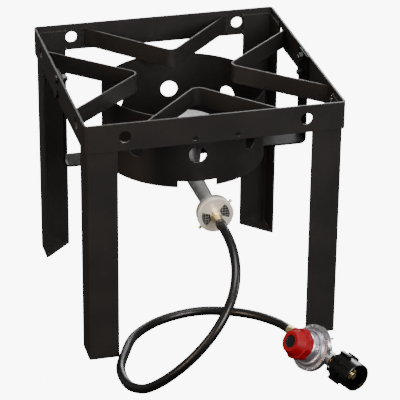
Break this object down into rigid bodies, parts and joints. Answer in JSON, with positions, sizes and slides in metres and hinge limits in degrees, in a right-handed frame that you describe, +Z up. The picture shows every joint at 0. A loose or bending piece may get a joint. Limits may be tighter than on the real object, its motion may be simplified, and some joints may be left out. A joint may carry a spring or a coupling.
{
  "type": "propane burner stand",
  "caption": "Square steel stand with bent pot supports, a cast burner in a round windshield, a rubber gas hose and an adjustable pressure regulator with a hand nut.",
  "frame": {"origin": "centre of the square stand's footprint, on the floor", "axes": "+Z up, -Y towards the air shutter and the hose side, +X to the right seen from there"},
  "size_m": [0.4144, 0.6111, 0.401],
  "materials": {
    "powder_coat": "satin",
    "cast_metal": "as cast",
    "zinc_plate": "satin",
    "brass": "satin",
    "steel": "satin",
    "die_cast": "satin",
    "hose_rubber": "semi-gloss",
    "seal_rubber": "matte",
    "red_plastic": "semi-gloss",
    "dark_insert": "gloss",
    "nut_plastic": "semi-gloss"
  },
  "bodies": {
    "stand": {"rim_band": "powder_coat", "leg_front_left": "powder_coat", "leg_front_right": "powder_coat", "leg_back_left": "powder_coat", "leg_back_right": "powder_coat", "foot_plate_front_left": "powder_coat", "foot_plate_front_right": "powder_coat", "foot_plate_back_left": "powder_coat", "foot_plate_back_right": "powder_coat", "pot_support_front": "powder_coat", "pot_support_right": "powder_coat", "pot_support_back": "powder_coat", "pot_support_left": "powder_coat", "windshield": "powder_coat", "burner_strap": "powder_coat", "strap_bolt_left_lower": "powder_coat", "strap_bolt_left_upper": "powder_coat", "strap_bolt_right_lower": "powder_coat", "strap_bolt_right_upper": "powder_coat", "strap_nut_left_lower": "powder_coat", "strap_nut_left_upper": "powder_coat", "strap_nut_right_lower": "powder_coat", "strap_nut_right_upper": "powder_coat", "burner_casting": "cast_metal", "burner_cap": "cast_metal", "burner_washer": "steel", "burner_bolt": "steel", "insect_screen": "steel", "range_spring": "steel", "vent_stub": "steel", "orifice_fitting": "brass", "orifice_jet": "brass", "outlet_fitting": "brass", "inlet_nipple": "brass", "hose": "hose_rubber", "hose_ferrule_burner": "hose_rubber", "regulator_body": "die_cast", "regulator_bonnet": "die_cast", "crimp_ring": "die_cast", "diaphragm": "seal_rubber", "nipple_seal": "seal_rubber"},
    "shutter": {"air_shutter": "zinc_plate", "shutter_screw_upper": "brass", "shutter_screw_lower": "brass"},
    "seat": {"spring_seat": "steel"},
    "knob": {"adjusting_knob": "red_plastic", "knob_cap": "dark_insert", "adjusting_screw": "steel"},
    "coupling": {"coupling_nut": "nut_plastic"},
    "valve": {"valve_stem": "brass", "diaphragm_plate": "steel"}
  },
  "joints": [
    {"name": "shutter_turn", "type": "hinge", "parent": "stand", "child": "shutter", "pos_m": [0, -0.2032, 0.232], "axis": [0, -1, 0], "range_deg": [-18, 54]},
    {"name": "seat_slide", "type": "slide", "parent": "stand", "child": "seat", "axis": [-0.7973, -0.3111, 0.5172], "range_m": [-0.0015, 0.0045], "deforming": ["range_spring"]},
    {"name": "knob_turn", "type": "hinge", "parent": "seat", "child": "knob", "pos_m": [0.11118, -0.30738, 0.04678], "axis": [-0.7973, -0.3111, 0.5172], "range_deg": [-360, 1080]},
    {"name": "valve_stroke", "type": "slide", "parent": "stand", "child": "valve", "axis": [-0.7973, -0.3111, 0.5172], "range_m": [-0.001, 0], "deforming": ["diaphragm"]},
    {"name": "nut_spin", "type": "hinge", "parent": "stand", "child": "coupling", "pos_m": [0.16749, -0.36761, 0.02601], "axis": [0.351, -0.9361, -0.022], "continuous": true}
  ],
  "couplings": [
    {"joint": "seat_slide", "follows": "knob_turn", "m_per_rad": 0.00023873}
  ]
}
